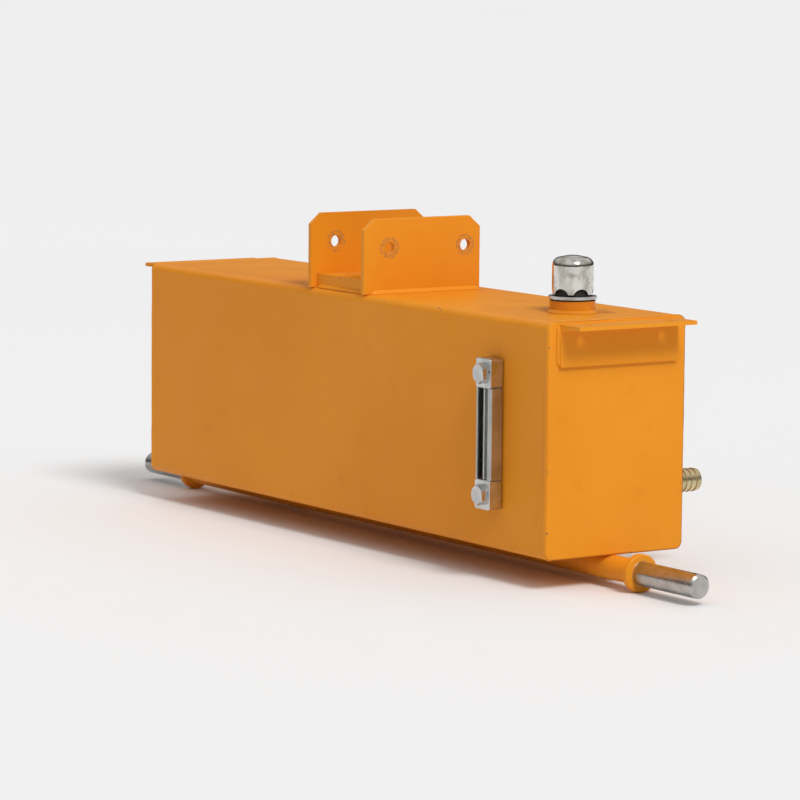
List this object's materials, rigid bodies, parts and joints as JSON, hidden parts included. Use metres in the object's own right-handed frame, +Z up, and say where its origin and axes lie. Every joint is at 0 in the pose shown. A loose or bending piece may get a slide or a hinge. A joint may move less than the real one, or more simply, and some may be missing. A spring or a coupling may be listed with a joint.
{
  "type": "hydraulic reservoir",
  "caption": "Long welded hydraulic oil tank on a through axle, with a bolt-on tongue saddle, breather filler cap, level gauge, hose ports and drain plug.",
  "frame": {"origin": "centre of the tongue seat, on the face that the machine's tongue rests on, midway between the two saddle bolts", "axes": "+X along the tank towards the filler and level gauge, +Y towards the hitch, +Z up"},
  "size_m": [1.09, 0.27, 0.361],
  "materials": {
    "tank_paint": "gloss orange powder coat",
    "chrome": "bright chrome plate",
    "plated_metal": "bright zinc plate",
    "rubber": "matt black",
    "filter_foam": "open cell foam",
    "sight_glass": "clear, smoked by oil",
    "scale_plastic": "matt, dark with pale level marks",
    "copper": "annealed copper"
  },
  "bodies": {
    "reservoir": {"tank_top_pan": "tank_paint", "tank_floor_pan": "tank_paint", "tank_front_wall": "tank_paint", "tank_rear_wall": "tank_paint", "left_end_plate": "tank_paint", "right_end_plate": "tank_paint", "baffle_plate": "tank_paint", "saddle_left_plate": "tank_paint", "saddle_right_plate": "tank_paint", "saddle_seat_plate": "tank_paint", "saddle_risers": "tank_paint", "axle_bar": "tank_paint", "hub_stop_collars": "tank_paint", "left_fender_bracket": "tank_paint", "right_fender_bracket": "tank_paint", "filler_neck": "tank_paint", "suction_bung": "tank_paint", "return_bung": "tank_paint", "drain_bung": "tank_paint", "gauge_bosses": "tank_paint", "filler_flange": "plated_metal", "filler_screws": "plated_metal", "gauge_end_blocks": "plated_metal", "gauge_channel": "plated_metal", "gauge_bolts": "plated_metal", "gauge_bolt_washers": "plated_metal", "suction_hose_fitting": "plated_metal", "return_hose_fitting": "plated_metal", "filler_strainer": "plated_metal", "suction_screen": "plated_metal", "suction_screen_cap": "plated_metal", "filler_gasket": "rubber", "gauge_tube_seals": "rubber", "gauge_wall_seals": "rubber", "gauge_sight_tube": "sight_glass", "gauge_scale_plate": "scale_plastic"},
    "cap_seal": {"cap_seal_plate": "plated_metal", "cap_gasket": "rubber"},
    "filler_cap": {"cap_shell": "chrome", "cap_base_plate": "plated_metal", "cap_filter_element": "filter_foam", "cap_lock_bar": "plated_metal"},
    "drain_seal": {"drain_washer": "copper"},
    "drain_screw": {"drain_plug": "plated_metal", "drain_magnet": "plated_metal"}
  },
  "joints": [
    {"name": "cap_lift", "type": "slide", "parent": "reservoir", "child": "cap_seal", "axis": [0, 0, 1], "range_m": [0, 0.08]},
    {"name": "cap_turn", "type": "hinge", "parent": "cap_seal", "child": "filler_cap", "pos_m": [0.32, 0.005, 0.012], "axis": [0, 0, -1], "range_deg": [0, 75]},
    {"name": "drain_plug_travel", "type": "slide", "parent": "reservoir", "child": "drain_seal", "axis": [0, 0, -1], "range_m": [0, 0.012]},
    {"name": "drain_plug_turn", "type": "hinge", "parent": "drain_seal", "child": "drain_screw", "pos_m": [-0.25, 0.057, -0.27], "axis": [0, 0, -1], "range_deg": [0, 2880]}
  ],
  "couplings": [
    {"joint": "drain_plug_turn", "follows": "drain_plug_travel", "rad_per_m": 4188.8}
  ]
}
